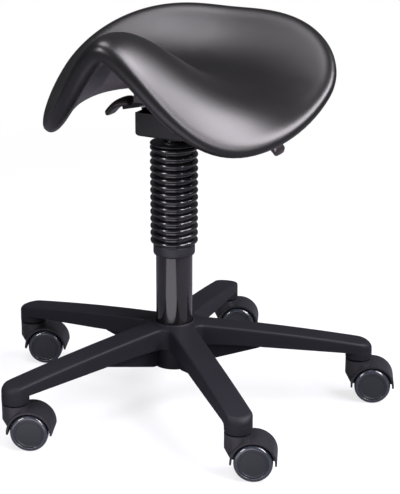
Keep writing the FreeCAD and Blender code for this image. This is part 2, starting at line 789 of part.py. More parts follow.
# Tilt mechanism: the pressed housing, the welded cone socket and the two pivot pins.
def tilt_mechanism():
    wall = "housing_half_width - housing_wall"
    shell = box(
        "housing_outside",
        ("-housing_half_width", "-housing_front", "housing_bottom"),
        ("housing_half_width", "housing_rear", "housing_top"))
    rounded = doc.addObject("Part::Fillet", "housing_rounded")
    rounded.Base = shell
    doc.recompute()

    def is_lower_side(edge):
        middle = edge.CenterOfMass
        return abs(middle.z - size("housing_bottom")) < 0.01

    radius = size("housing_corner_round")
    lower = edges_where(shell.Shape, is_lower_side)
    rounded.Edges = [(int(label[4:]), radius, radius) for label in lower]
    hollow = box(
        "housing_inside",
        (f"-({wall})", "-housing_front + housing_wall", "housing_bottom + housing_wall"),
        (wall, "housing_rear - housing_wall", "housing_top + 1"))
    seat_of_socket = cylinder(
        "socket_seat", "socket_radius + fit_gap", "housing_wall * 3", z="housing_bottom - housing_wall")
    pivot_holes = cylinder(
        "pivot_holes", "pivot_radius + fit_gap", "2 * housing_half_width + 2",
        x="-housing_half_width - 1", z="pivot_height", along="X")
    clamp_hole = cylinder(
        "clamp_hole", "clamp_radius + fit_gap", "2 * housing_half_width + 2",
        x="-housing_half_width - 1", y="clamp_reach", z="clamp_height", along="X")
    lever_gap = "lever_width / 2 + loose_gap"
    ear_low = "housing_bottom + housing_wall"
    ear_high = "lever_middle + lever_pivot_radius + lever_ear_thickness"
    ears = [
        box(f"lever_ear_{side}",
            ("-lever_pivot_reach - lever_ear_half_length", low, ear_low),
            ("-lever_pivot_reach + lever_ear_half_length", high, ear_high))
        for side, low, high in (
            ("front", f"-({lever_gap}) - lever_ear_thickness", f"-({lever_gap})"),
            ("rear", lever_gap, f"{lever_gap} + lever_ear_thickness"))]
    pin_hole = cylinder(
        "lever_pin_hole", "lever_pivot_radius + fit_gap", "lever_width + 4 * lever_ear_thickness",
        x="-lever_pivot_reach", y="-lever_width / 2 - 2 * lever_ear_thickness", z="lever_middle", along="Y")
    tray = cut("housing_tray", rounded, hollow, seat_of_socket, pivot_holes, clamp_hole)
    piece("tilt_housing", cut("tilt_housing", fuse("housing_with_ears", tray, *ears), pin_hole))

    socket_blank = cylinder("socket_blank", "socket_radius", "cone_length", z="housing_bottom")
    socket_cone = cone(
        "socket_cone", "lift_radius + fit_gap", "cone_top_radius + fit_gap", "cone_length",
        z="housing_bottom")
    piece("taper_socket", cut("taper_socket", socket_blank, socket_cone))

    pins = []
    inner_end = "housing_half_width - housing_wall - pivot_inside"
    for side, start in (("right", f"-({inner_end}) - pivot_length"), ("left", inner_end)):
        shank = cylinder(
            f"pivot_{side}_shank", "pivot_radius", "pivot_length", x=start, z="pivot_height", along="X")
        pins.append(shank)
    piece("tilt_pins", group("tilt_pins", *pins))


# Seat side of the mechanism: the bracket with its ears, the forks and the fasteners.
def seat_bracket():
    ear_inside = "housing_half_width + loose_gap"
    ear_outside = f"{ear_inside} + housing_wall"
    plate = box(
        "bracket_plate_blank", (f"-({ear_outside})", "-bracket_front", "bracket_bottom"),
        (ear_outside, "bracket_rear", "bracket_top"))
    ears = [
        box(f"bracket_ear_{side}", (low, "-ear_half_length", "ear_bottom"),
            (high, "ear_half_length", "bracket_top"))
        for side, low, high in (
            ("right", f"-({ear_outside})", f"-({ear_inside})"), ("left", ear_inside, ear_outside))]
    window = box(
        "ear_window", (f"-({ear_outside}) - 1", "-ear_window_half_length", "ear_window_bottom"),
        (f"{ear_outside} + 1", "ear_window_half_length", "bracket_bottom"))
    pivot = cylinder(
        "ear_pivot_holes", "pivot_radius + fit_gap", f"2 * ({ear_outside}) + 2",
        x=f"-({ear_outside}) - 1", z="pivot_height", along="X")
    corners = [(x, y) for x in ("-bolt_spacing_half", "bolt_spacing_half")
               for y in ("-bolt_front_reach", "bolt_rear_reach")]
    holes = [
        cylinder(f"bracket_hole_{i}", "bolt_radius + loose_gap", "bracket_plate * 3", x=x, y=y,
                 z="bracket_top - 2 * bracket_plate")
        for i, (x, y) in enumerate(corners, start=1)]
    piece("seat_bracket", cut(
        "seat_bracket", fuse("bracket_blank", plate, *ears), window, pivot, *holes))

    head_bottom = "bracket_bottom - bolt_head_height"
    bolts = []
    nuts = []
    for i, (x, y) in enumerate(corners, start=1):
        head = cylinder(f"bolt_head_{i}", "bolt_head_radius", "bolt_head_height", x=x, y=y, z=head_bottom)
        shank = cylinder(f"bolt_shank_{i}", "bolt_radius", "bolt_length", x=x, y=y, z="bracket_bottom")
        bolts.append(fuse(f"bolt_{i}", head, shank))
        barrel = cylinder(f"nut_barrel_{i}", "nut_radius", "nut_height", x=x, y=y, z="bracket_top")
        flange = cylinder(
            f"nut_flange_{i}", "nut_flange_radius", "nut_flange_height", x=x, y=y,
            z="bracket_top + nut_height - nut_flange_height")
        thread = cylinder(
            f"nut_thread_{i}", "bolt_radius + fit_gap", "nut_height + 2", x=x, y=y, z="bracket_top - 1")
        nuts.append(cut(f"nut_{i}", fuse(f"nut_blank_{i}", barrel, flange), thread))
    piece("seat_bolts", group("seat_bolts", *bolts))
    piece("t_nuts", group("t_nuts", *nuts))

    forks = []
    for side, middle in (("right", "-fork_offset"), ("left", "fork_offset")):
        blade = box(
            f"fork_{side}_blade",
            (f"{middle} - fork_thickness / 2", "clamp_reach - fork_half_length", "fork_bottom"),
            (f"{middle} + fork_thickness / 2", "clamp_reach + fork_half_length", "bracket_bottom"))
        notch = box(
            f"fork_{side}_notch",
            (f"{middle} - fork_thickness", "clamp_reach - fork_notch_half", "fork_bottom - 1"),
            (f"{middle} + fork_thickness", "clamp_reach + fork_notch_half", "fork_notch_top"))
        forks.append(cut(f"fork_{side}", blade, notch))
    piece("lock_forks", group("lock_forks", *forks))


# Tilt lock: the clamp bolt through the forks, the cam's pin, and the cam lever.
def tilt_lock():
    line = {"y": "clamp_reach", "z": "clamp_height", "along": "X"}
    head = cylinder(
        "clamp_head", "clamp_head_radius", "clamp_head_height",
        x="-housing_half_width - clamp_head_height - fit_gap", **line)
    shank = cylinder(
        "clamp_shank", "clamp_radius", "housing_half_width + cam_offset + cam_pin_radius + cam_cheek",
        x="-housing_half_width - fit_gap", **line)
    eye = cylinder(
        "clamp_eye", "cam_pin_radius + fit_gap", "4 * clamp_radius",
        x="cam_offset", y="clamp_reach - 2 * clamp_radius", z="clamp_height", along="Y")
    piece("lock_bolt", cut("lock_bolt", fuse("clamp_blank", head, shank), eye))
    piece("cam_pin", cylinder(
        "cam_pin", "cam_pin_radius", "cam_length", x="cam_offset",
        y="clamp_reach - cam_length / 2", z="clamp_height", along="Y"))

    cam = cylinder(
        "cam_round", "cam_radius", "cam_length", x="cam_offset",
        y="clamp_reach - cam_length / 2", z="clamp_height", along="Y")
    hollow = box(
        "cam_hollow",
        ("cam_offset - cam_radius - 1", "clamp_reach - clamp_radius - loose_gap",
         "clamp_height - cam_radius - 1"),
        ("cam_offset + clamp_radius + cam_cheek", "clamp_reach + clamp_radius + loose_gap",
         "clamp_height + cam_radius + 1"))
    eye_of_cam = cylinder(
        "cam_eye", "cam_pin_radius + fit_gap", "cam_length + 2", x="cam_offset",
        y="clamp_reach - cam_length / 2 - 1", z="clamp_height", along="Y")
    arm_length = "tilt_lever_length - grip_length / 2"
    arm = box(
        "tilt_lever_blank", ("0", "-lever_width / 2", "-lever_thickness / 2"),
        (arm_length, "lever_width / 2", "lever_thickness / 2"))
    fall = "atan(tilt_lever_drop / tilt_lever_length)"
    swing = group("tilt_lever_arm", arm)
    swing.Placement = Placement(Vector(), Rotation(Vector(0, 1, 0), 10))
    bind(swing, **{
        "Placement.Base.x": "cam_offset", "Placement.Base.y": "clamp_reach",
        "Placement.Base.z": "clamp_height", "Placement.Rotation.Angle": fall})
    piece("tilt_lever", cut("tilt_lever", fuse("tilt_lever_whole", cam, swing), hollow, eye_of_cam))
    grip("tilt_lever_grip", 1, "cam_offset", "clamp_reach", "clamp_height", fall, arm_length)


# Shares of the paddle's length, width and drop at its four sections, from the arm out to the tip.
GRIP_SECTIONS = ((0.0, 0.62, 0.0), (0.35, 0.85, -0.05), (0.7, 1.0, 0.28), (1.0, 0.8, 1.0))


def grip(label, side, x, y, z, fall, start):
    """A paddle pushed over the end of a lever arm, bent down towards its tip."""
    length = size("grip_length")
    half = size("grip_width") / 2
    thick = size("grip_thickness") / 2
    clear = size("fit_gap")
    sections = []
    for share, spread, lowered in GRIP_SECTIONS:
        reach = side * length * share
        middle = -size("grip_drop") * lowered
        deep = thick * (1 - (1 - size("grip_tip_share")) * share)
        wide = half * spread
        narrow = wide * size("grip_top_share")
        corners = [Vector(reach, -wide, middle - deep), Vector(reach, wide, middle - deep),
                   Vector(reach, narrow, middle + deep), Vector(reach, -narrow, middle + deep)]
        sections.append(Part.makePolygon(corners + corners[:1]))
    paddle = Part.makeLoft(sections, True, True)
    width = size("lever_width") / 2 + clear
    deep = size("lever_thickness") / 2 + clear
    insert = size("grip_insert")
    pocket = Part.makeBox(insert + 1, 2 * width, 2 * deep, Vector(-1 if side > 0 else -insert, -width, -deep))
    item = doc.addObject("Part::Feature", label)
    item.Shape = paddle.cut(pocket)
    item.Placement = Placement(Vector(), Rotation(Vector(0, 1, 0), 10))
    along = f"({start} - grip_insert + loose_gap)"
    bind(item, **{
        "Placement.Base.x": f"{x} + {side} * {along} * cos({fall})",
        "Placement.Base.y": y,
        "Placement.Base.z": f"{z} - {along} * sin({fall})",
        "Placement.Rotation.Angle": f"{side} * ({fall})"})
    return piece(label, item)


# Height lever: a flat bar over the valve pin, its pivot pin and its paddle.
def height_lever():
    pivot = "-lever_pivot_reach"
    inner = box(
        "height_lever_inner", (pivot, "-lever_width / 2", "lever_bottom"),
        ("valve_pin_radius + lever_past_valve", "lever_width / 2", "lever_bottom + lever_thickness"))
    barrel = cylinder(
        "height_lever_barrel", "lever_pivot_radius + lever_pivot_wall", "lever_width", x=pivot,
        y="-lever_width / 2", z="lever_middle", along="Y")
    arm_length = "height_lever_reach - grip_length / 2 - lever_pivot_reach"
    arm = box(
        "height_lever_blank", (f"-({arm_length})", "-lever_width / 2", "-lever_thickness / 2"),
        ("0", "lever_width / 2", "lever_thickness / 2"))
    fall = "atan(height_lever_drop / (height_lever_reach - lever_pivot_reach))"
    swing = group("height_lever_arm", arm)
    swing.Placement = Placement(Vector(), Rotation(Vector(0, 1, 0), 10))
    bind(swing, **{
        "Placement.Base.x": pivot, "Placement.Base.z": "lever_middle",
        "Placement.Rotation.Angle": f"-({fall})"})
    eye = cylinder(
        "height_lever_eye", "lever_pivot_radius + fit_gap", "lever_width + 2", x=pivot,
        y="-lever_width / 2 - 1", z="lever_middle", along="Y")
    piece("height_lever", cut("height_lever", fuse("height_lever_whole", inner, barrel, swing), eye))
    piece("height_lever_pin", cylinder(
        "height_lever_pin", "lever_pivot_radius", "lever_width + 2 * (lever_ear_thickness + lever_pin_end)",
        x=pivot, y="-lever_width / 2 - lever_ear_thickness - lever_pin_end", z="lever_middle", along="Y"))
    grip("height_lever_grip", -1, pivot, "0", "lever_middle", fall, arm_length)


def plan_half_width(reach):
    """Half the seat's width at a reach in front of the column."""
    widest = -size("widest_reach")
    if reach > widest:
        length, fullness = size("nose_reach") - widest, size("front_fullness")
    else:
        length, fullness = size("rear_reach") + widest, size("rear_fullness")
    share = min(abs(reach - widest) / length, 1.0)
    return size("seat_half_width") * (1 - share ** fullness) ** (1 / fullness)


def spine_height(reach):
    """Height of the seat's top along its middle line, from the crest down to the pan and up."""
    crest, pan = size("crest_height"), size("pan_height")
    share = min((size("crest_reach") - reach) / (size("crest_reach") + size("pan_reach")), 1.0)
    height = (crest + pan) / 2 + (crest - pan) / 2 * math.cos(math.pi * share)
    behind = max(-size("pan_reach") - reach, 0.0) / (size("rear_reach") - size("pan_reach"))
    return height + (size("rear_height") - pan) * behind ** 2


def top_height(reach, across):
    """Height of the seat's top: the spine less the fall of the flaps."""
    pan = -size("pan_reach")
    share = (reach - pan) / (size("nose_reach") - pan)
    bend = size("flap_fall_nose") if share > 0 else size("flap_rise_rear")
    fall = size("flap_fall_start") + size("flap_fall") * share + bend * share ** 2
    ridge = size("ridge_round")
    return spine_height(reach) - fall * (math.hypot(ridge, across) - ridge)


def pad_thickness(reach, share):
    """Depth of foam at a share of the half width: thinner towards the nose and the rim."""
    ahead = max(reach, 0.0) / size("nose_reach")
    middle = size("pad_mid") + (size("pad_nose") - size("pad_mid")) * ahead ** 2
    return middle + (size("pad_rim") - middle) * share ** 2


def below_top(reach, across, depth):
    """The point at a depth square below the seat's top, within the cross-section."""
    step = 0.5
    slope = (top_height(reach, across + step) - top_height(reach, across - step)) / (2 * step)
    length = math.hypot(1, slope)
    return Vector(across + slope / length * depth, -reach, top_height(reach, across) - depth / length)


def arc_or_line(first, middle, last):
    """An arc through three points, or a line where they are as good as straight."""
    chord = last - first
    sagitta = (middle - first).cross(chord).Length / max(chord.Length, 1e-9)
    if sagitta < 1e-3:
        return Part.LineSegment(first, last).toShape()
    return Part.Arc(first, middle, last).toShape()


SECTION_HALVES = 4


def seat_section(reach, share, upper, lower, bulge):
    """A closed cross-section between two depths below the top, with rounded rims.

    Each depth is a function of the reach and of the share of the half width.
    """
    half = plan_half_width(reach) * share
    steps = 2 * SECTION_HALVES
    across = [half * (i - steps // 2) / (steps // 2) for i in range(steps + 1)]
    over = [below_top(reach, x, upper(reach, abs(x) / half * share)) for x in across]
    under = [below_top(reach, x, lower(reach, abs(x) / half * share)) for x in across]

    def rim(high, low, way):
        outward = Vector(low.z - high.z, 0, high.x - low.x)
        outward = outward / outward.Length
        if outward.x * way < 0:
            outward = outward * -1
        return (high + low) * 0.5 + outward * bulge

    edges = [arc_or_line(*over[i:i + 3]) for i in range(0, steps, 2)]
    edges.append(arc_or_line(over[-1], rim(over[-1], under[-1], 1), under[-1]))
    back = under[::-1]
    edges += [arc_or_line(*back[i:i + 3]) for i in range(0, steps, 2)]
    edges.append(arc_or_line(under[0], rim(over[0], under[0], -1), over[0]))
    return Part.Wire(edges)


def stations(front, rear, count=19):
    """Reaches from rear to front, closer together towards both ends."""
    middle, half = (front + rear) / 2, (front - rear) / 2
    return [middle - half * math.cos(math.pi * i / (count - 1)) for i in range(count)]


# Saddle: a foam pad with crown, flaps and rounded rim, and the hard shell let into its underside.
def saddle():
    thin, gap = size("shell_thickness"), size("loose_gap")
    end_share = 0.985
    centre = (size("nose_reach") - size("rear_reach")) / 2
    half = (size("nose_reach") + size("rear_reach")) / 2
    reaches = stations(centre + half * end_share, centre - half * end_share)
    pad = Part.makeLoft([
        seat_section(reach, 1.0, lambda r, s: 0.0, pad_thickness, size("rim_bulge"))
        for reach in reaches], True, False)

    shell_front = size("nose_reach") - size("shell_nose_setback")
    shell_rear = -size("rear_reach") + size("shell_rear_setback")
    share = size("shell_share")
    recess = Part.makeLoft([
        seat_section(reach, share + gap / 100, lambda r, s: pad_thickness(r, s) - thin - gap,
                     lambda r, s: pad_thickness(r, s) + 1.0, 0.0)
        for reach in stations(shell_front + gap, shell_rear - gap)], True, False)
    shell = Part.makeLoft([
        seat_section(reach, share, lambda r, s: pad_thickness(r, s) - thin, pad_thickness, 0.0)
        for reach in stations(shell_front, shell_rear)], True, False)

    # The mounting block under the shell fills the wedge down to the bracket's flat plate.
    past_shell = 80.0
    width = 2 * size("housing_half_width")
    length = size("bracket_front") + size("bracket_rear")
    level = size("bracket_top")
    block = Part.makeBox(width, length, past_shell, Vector(-width / 2, -size("bracket_front"), level))
    room = Part.makeLoft([
        seat_section(reach, share, lambda r, s: pad_thickness(r, s) - thin / 2, lambda r, s: 2 * past_shell, 0.0)
        for reach in stations(shell_front, shell_rear)], True, True)
    block = block.common(room)
    shell = shell.fuse(block)
    bolts = [(x * size("bolt_spacing_half"), y) for x in (-1, 1)
             for y in (-size("bolt_front_reach"), size("bolt_rear_reach"))]
    for x, y in bolts:
        flange_bottom = level + size("nut_height") - size("nut_flange_height") - gap
        barrel = Part.makeCylinder(size("nut_radius") + gap, size("nut_height"), Vector(x, y, level - 1))
        flange = Part.makeCylinder(
            size("nut_flange_radius") + gap, size("nut_flange_height") + 2 * gap, Vector(x, y, flange_bottom))
        tip = Part.makeCylinder(
            size("bolt_radius") + gap, size("bolt_length"), Vector(x, y, level - 1))
        shell = shell.cut(barrel).cut(flange).cut(tip)
    for label, shape in (("seat_cushion", pad.cut(recess)), ("seat_shell", shell)):
        item = doc.addObject("Part::Feature", label)
        item.Shape = shape
        piece(label, item)


def check_and_write():
    """Stop on any failed object, then write each piece to its own file."""
    doc.recompute()
    for item in doc.Objects:
        if {"Invalid", "Error"} & set(item.State):
            raise RuntimeError(f"{item.Name} is {item.State}")
    for item in PIECES:
        shape = item.Shape
        if shape.isNull() or not shape.isValid() or not shape.Solids:
            raise RuntimeError(f"{item.Label} has no valid solid")
    os.makedirs("parts", exist_ok=True)
    for item in PIECES:
        item.Shape.exportStep(f"parts/{item.Label}.step")
    print(len(PIECES), "pieces written")


five_star_base()
castor_stems()
for castor_number in range(1, int(size("arm_count")) + 1):
    castor(castor_number)
column()
lift_rod()
gas_lift()
bellows()
tilt_mechanism()
seat_bracket()
tilt_lock()
height_lever()
saddle()
check_and_write()
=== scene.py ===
import json
import math

import bmesh
import bpy
from mathutils import Matrix, Vector


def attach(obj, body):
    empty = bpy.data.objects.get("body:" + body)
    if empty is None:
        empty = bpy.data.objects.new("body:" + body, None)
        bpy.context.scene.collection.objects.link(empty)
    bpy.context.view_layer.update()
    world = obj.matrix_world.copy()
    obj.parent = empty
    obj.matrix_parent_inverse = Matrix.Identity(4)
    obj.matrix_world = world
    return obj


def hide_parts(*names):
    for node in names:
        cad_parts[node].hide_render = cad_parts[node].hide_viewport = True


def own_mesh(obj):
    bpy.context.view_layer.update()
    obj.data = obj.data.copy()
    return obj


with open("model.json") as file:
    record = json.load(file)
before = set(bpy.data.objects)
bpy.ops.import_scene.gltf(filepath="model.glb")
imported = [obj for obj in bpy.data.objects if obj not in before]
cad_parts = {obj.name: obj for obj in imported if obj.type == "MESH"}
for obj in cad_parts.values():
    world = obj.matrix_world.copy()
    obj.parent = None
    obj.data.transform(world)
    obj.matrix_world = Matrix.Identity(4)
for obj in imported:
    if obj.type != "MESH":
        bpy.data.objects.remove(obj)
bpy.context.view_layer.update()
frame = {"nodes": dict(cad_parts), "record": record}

nodes = frame["nodes"]

# Camera. It stands in front of the stool's nose, to the rider's left and above the seat,
# with a long lens, as the photograph was taken.
camera_place = Vector((1.0598, -1.8743, 0.9364))
camera_aim = Vector((0.0309, 0.0168, 0.2228))
camera_roll = 0.0032
camera_height_of_film = 36.0
camera_lens = 121.19
camera = bpy.data.objects.new("camera", bpy.data.cameras.new("camera"))
bpy.context.scene.collection.objects.link(camera)
looking = (camera_aim - camera_place).to_track_quat("-Z", "Y").to_matrix().to_4x4()
camera.matrix_world = Matrix.Translation(camera_place) @ looking @ Matrix.Rotation(camera_roll, 4, "Z")
camera.data.sensor_fit = "VERTICAL"
camera.data.sensor_height = camera_height_of_film
camera.data.lens = camera_lens
camera.data.clip_end = 50
bpy.context.scene.camera = camera
bpy.context.scene.view_settings.view_transform = "Standard"


# Studio. Two wide softboxes hang over the stool, one on the rider's left and one nearly overhead.
# Two narrow strips stand low before it, so that every rib and edge gets its pair of highlights, and
# a dim card on the floor lights the undersides. The back stays dark.
lamp_aim = Vector((0, 0, 0.3))
lamp_tint = (0.98, 0.93, 1.0)


def softbox(name, azimuth, elevation, distance, width, height, power):
    """An area lamp aimed at the seat; azimuth 0 is the nose's side and grows towards +X."""
    lamp = bpy.data.objects.new(name, bpy.data.lights.new(name, "AREA"))
    lamp.data.shape = "RECTANGLE"
    lamp.data.size = width
    lamp.data.size_y = height
    lamp.data.energy = power
    lamp.data.color = lamp_tint
    turn, rise = math.radians(azimuth), math.radians(elevation)
    away = Vector((math.sin(turn) * math.cos(rise), -math.cos(turn) * math.cos(rise), math.sin(rise)))
    place = lamp_aim + away * distance
    toward = (lamp_aim - place).to_track_quat("-Z", "Y").to_matrix().to_4x4()
    lamp.matrix_world = Matrix.Translation(place) @ toward
    bpy.context.scene.collection.objects.link(lamp)
    return lamp


softbox("left_hand_softbox", 102, 46, 2.2, 1.9, 1.0, 98)
softbox("overhead_softbox", -48, 76, 2.2, 1.2, 1.0, 36)
softbox("left_hand_strip", 70, 24, 2.2, 0.40, 0.9, 26)
softbox("right_hand_strip", -20, 24, 2.2, 0.40, 0.9, 26)
softbox("floor_card", 10, -38, 0.46, 0.5, 0.5, 1.1).visible_camera = False

world = bpy.data.worlds.new("studio")
bpy.context.scene.world = world
world.use_nodes = True
tree = world.node_tree
tree.nodes.clear()
room_light = tree.nodes.new("ShaderNodeBackground")
room_light.inputs["Color"].default_value = (0.93, 0.93, 1.0, 1)
room_light.inputs["Strength"].default_value = 0.10
white_back = tree.nodes.new("ShaderNodeBackground")
white_back.inputs["Color"].default_value = (1, 1, 1, 1)
white_back.inputs["Strength"].default_value = 1.0
rays = tree.nodes.new("ShaderNodeLightPath")
seen = tree.nodes.new("ShaderNodeMath")
seen.operation = "MAXIMUM"
either = tree.nodes.new("ShaderNodeMixShader")
out = tree.nodes.new("ShaderNodeOutputWorld")
tree.links.new(rays.outputs["Is Camera Ray"], seen.inputs[0])
tree.links.new(rays.outputs["Is Transmission Ray"], seen.inputs[1])
tree.links.new(seen.outputs[0], either.inputs[0])
tree.links.new(room_light.outputs[0], either.inputs[1])
tree.links.new(white_back.outputs[0], either.inputs[2])
tree.links.new(either.outputs[0], out.inputs["Surface"])

# Floor. A white sheet that keeps a faint shadow of the stool and is plain white further out. The
# camera sees it close to white, and the stool sees a greyer one, as on a stage with flagged light.
floor_size = 12.0
floor_white_share, floor_lit_reach = 0.74, 1.6
bm = bmesh.new()
bmesh.ops.create_grid(bm, x_segments=1, y_segments=1, size=floor_size)
floor = bpy.data.objects.new("floor", bpy.data.meshes.new("floor"))
bm.to_mesh(floor.data)
bm.free()
bpy.context.scene.collection.objects.link(floor)
sheet_white = bpy.data.materials.new("white_sheet")
sheet_white.use_nodes = True
tree = sheet_white.node_tree
tree.nodes.clear()
matt = tree.nodes.new("ShaderNodeBsdfDiffuse")
matt.inputs["Color"].default_value = (0.84, 0.84, 0.90, 1)
glow = tree.nodes.new("ShaderNodeEmission")
glow.inputs["Color"].default_value = (1, 1, 1, 1)
glow.inputs["Strength"].default_value = 1.0
dull = tree.nodes.new("ShaderNodeBsdfDiffuse")
dull.inputs["Color"].default_value = (0.17, 0.17, 0.19, 1)
rays = tree.nodes.new("ShaderNodeLightPath")
place = tree.nodes.new("ShaderNodeTexCoord")
nearer = tree.nodes.new("ShaderNodeVectorMath")
nearer.operation = "SCALE"
nearer.inputs["Scale"].default_value = 1 / floor_lit_reach
around = tree.nodes.new("ShaderNodeTexGradient")
around.gradient_type = "SPHERICAL"
white = tree.nodes.new("ShaderNodeMapRange")
white.inputs["From Max"].default_value = 0.4
white.inputs["To Min"].default_value = 1.0
white.inputs["To Max"].default_value = floor_white_share
shown = tree.nodes.new("ShaderNodeMixShader")
both = tree.nodes.new("ShaderNodeMixShader")
out = tree.nodes.new("ShaderNodeOutputMaterial")
tree.links.new(place.outputs["Object"], nearer.inputs[0])
tree.links.new(nearer.outputs["Vector"], around.inputs["Vector"])
tree.links.new(around.outputs["Fac"], white.inputs["Value"])
tree.links.new(white.outputs["Result"], shown.inputs[0])
tree.links.new(matt.outputs[0], shown.inputs[1])
tree.links.new(glow.outputs[0], shown.inputs[2])
tree.links.new(rays.outputs["Is Camera Ray"], both.inputs[0])
tree.links.new(dull.outputs[0], both.inputs[1])
tree.links.new(shown.outputs[0], both.inputs[2])
tree.links.new(both.outputs[0], out.inputs["Surface"])
floor.data.materials.append(sheet_white)


# Seat. A one-piece saddle: moulded foam under a taut black synthetic leather skin, with a
# rolled rim and no seams. The same curves as the solid's give its crown, pan and flaps.
nose_reach = 0.184
rear_reach = 0.159
widest_reach = -0.045
seat_half_width = 0.194
front_fullness = 1.95
rear_fullness = 2.2
crest_height = 0.543
crest_reach = 0.150
pan_height = 0.4615
pan_reach = -0.055
rear_height = 0.533
ridge_round = 0.064
pan_fall, fall_growth, front_fall, rear_fall = 0.02, 1.02, 1.73, 1.29


def seat_top(reach, across):
    """Height of the seat's top at a reach in front of the column and a distance from its middle."""
    share = min((crest_reach - reach) / (crest_reach - pan_reach), 1.0)
    spine = (crest_height + pan_height) / 2 + (crest_height - pan_height) / 2 * math.cos(math.pi * share)
    behind = max(pan_reach - reach, 0.0) / (rear_reach + pan_reach)
    spine += (rear_height - pan_height) * behind ** 2
    ahead = (reach - pan_reach) / (nose_reach - pan_reach)
    fall = pan_fall + fall_growth * ahead + (front_fall if ahead > 0 else rear_fall) * ahead ** 2
    return spine - fall * (math.hypot(ridge_round, across) - ridge_round)


def seat_edge(turn):
    """The rim's place in plan at an angle counted from the rider's left towards the nose."""
    forward, sideways = math.sin(turn), math.cos(turn)
    length = nose_reach - widest_reach if forward > 0 else rear_reach + widest_reach
    fullness = front_fullness if forward > 0 else rear_fullness
    reach = widest_reach + math.copysign(abs(forward) ** (2 / fullness) * length, forward)
    across = math.copysign(abs(sideways) ** (2 / fullness) * seat_half_width, sideways)
    return Vector((reach, across))


def seat_point(reach, across):
    return Vector((across, -reach, seat_top(reach, abs(across))))


def seat_normal(reach, across):
    step = 0.0004
    along = seat_point(reach + step, across) - seat_point(reach - step, across)
    aside = seat_point(reach, across + step) - seat_point(reach, across - step)
    normal = aside.cross(along)
    return -normal.normalized() if normal.z < 0 else normal.normalized()


flap_depth, nose_extra_depth, nose_narrowness = 0.021, 0.010, 8
pad_depth = 0.029


def rim_depth(turn):
    """Depth of the pad at the rim: thick at the nose's arch and slimmer at the flaps."""
    forward = max(math.sin(turn), 0.0)
    return flap_depth + nose_extra_depth * forward ** nose_narrowness


seat_round_steps = 144
seat_top_steps = 30
seat_rim_steps = 12
seat_under_steps = 8
rim_roll = 0.0075
rim_squareness = 2.4
seat_inset = 0.012
under_end = 0.70
rim_turn_step = 0.01
seat_rows = seat_top_steps + seat_rim_steps + seat_under_steps


def seat_skin(turn, row):
    """A point of the skin: rows run from the crown out over the rim and back in underneath."""
    edge = seat_edge(turn)
    centre = Vector((widest_reach, 0.0))
    pull = 1 - seat_inset / (edge - centre).length
    lip = centre + (edge - centre) * pull
    if row <= seat_top_steps:
        return seat_point(*(centre + (lip - centre) * row / seat_top_steps))
    top = seat_point(*lip)
    up = seat_normal(*lip)
    beside = seat_edge(turn + rim_turn_step) - seat_edge(turn - rim_turn_step)
    along = Vector((beside.y, -beside.x, 0))
    along = (along - up * along.dot(up)).normalized()
    outward = along.cross(up)
    if outward.dot(top - seat_point(*centre)) < 0:
        outward = -outward
    depth = rim_depth(turn)
    if row <= seat_top_steps + seat_rim_steps:
        beta = math.pi * (row - seat_top_steps) / seat_rim_steps
        out_by = abs(math.sin(beta)) ** (2 / rim_squareness)
        up_by = math.copysign(abs(math.cos(beta)) ** (2 / rim_squareness), math.cos(beta))
        return top - up * depth / 2 + up * up_by * depth / 2 + outward * out_by * (rim_roll + seat_inset)
    share = 1 - (1 - under_end) * (row - seat_top_steps - seat_rim_steps) / seat_under_steps
    place = centre + (lip - centre) * share
    return seat_point(*place) - seat_normal(*place) * (depth + (pad_depth - depth) * (1 - share ** 2))


def shaped(name, bm, material, smooth=True):
    """Make a linked object of a bmesh and a material."""
    mesh = bpy.data.meshes.new(name)
    bm.to_mesh(mesh)
    bm.free()
    item = bpy.data.objects.new(name, mesh)
    bpy.context.scene.collection.objects.link(item)
    mesh.materials.append(material)
    if smooth:
        mesh.polygons.foreach_set("use_smooth", [True] * len(mesh.polygons))
    return item


broad_mottle_scale, roughness_spread = 18, 0.12


def finish(name, colour, roughness, grain, depth,
           mottle=0.12, coat=0.0, metallic=0.0, specular=0.5, gloss=0.12):
    """A material with a moulded or leathery grain: grain in metres, depth in metres."""
    material = bpy.data.materials.new(name)
    material.use_nodes = True
    tree = material.node_tree
    shader = tree.nodes["Principled BSDF"]
    shader.inputs["Metallic"].default_value = metallic
    shader.inputs["Specular IOR Level"].default_value = specular
    shader.inputs["Coat Weight"].default_value = coat
    shader.inputs["Coat Roughness"].default_value = gloss
    place = tree.nodes.new("ShaderNodeTexCoord")
    fine = tree.nodes.new("ShaderNodeTexNoise")
    fine.inputs["Scale"].default_value = 1 / grain
    fine.inputs["Detail"].default_value = 3
    broad = tree.nodes.new("ShaderNodeTexNoise")
    broad.inputs["Scale"].default_value = broad_mottle_scale
    broad.inputs["Detail"].default_value = 4
    tint = tree.nodes.new("ShaderNodeMix")
    tint.data_type = "RGBA"
    tint.inputs["A"].default_value = (*[c * (1 - mottle) for c in colour], 1)
    tint.inputs["B"].default_value = (*[c * (1 + mottle) for c in colour], 1)
    rough = tree.nodes.new("ShaderNodeMapRange")
    rough.inputs["To Min"].default_value = roughness * (1 - roughness_spread)
    rough.inputs["To Max"].default_value = roughness * (1 + roughness_spread)
    bump = tree.nodes.new("ShaderNodeBump")
    bump.inputs["Distance"].default_value = depth
    bump.inputs["Strength"].default_value = 1.0
    tree.links.new(place.outputs["Object"], fine.inputs["Vector"])
    tree.links.new(place.outputs["Object"], broad.inputs["Vector"])
    tree.links.new(broad.outputs["Fac"], tint.inputs["Factor"])
    tree.links.new(tint.outputs["Result"], shader.inputs["Base Color"])
    tree.links.new(broad.outputs["Fac"], rough.inputs["Value"])
    tree.links.new(rough.outputs["Result"], shader.inputs["Roughness"])
    tree.links.new(fine.outputs["Fac"], bump.inputs["Height"])
    tree.links.new(bump.outputs["Normal"], shader.inputs["Normal"])
    return material


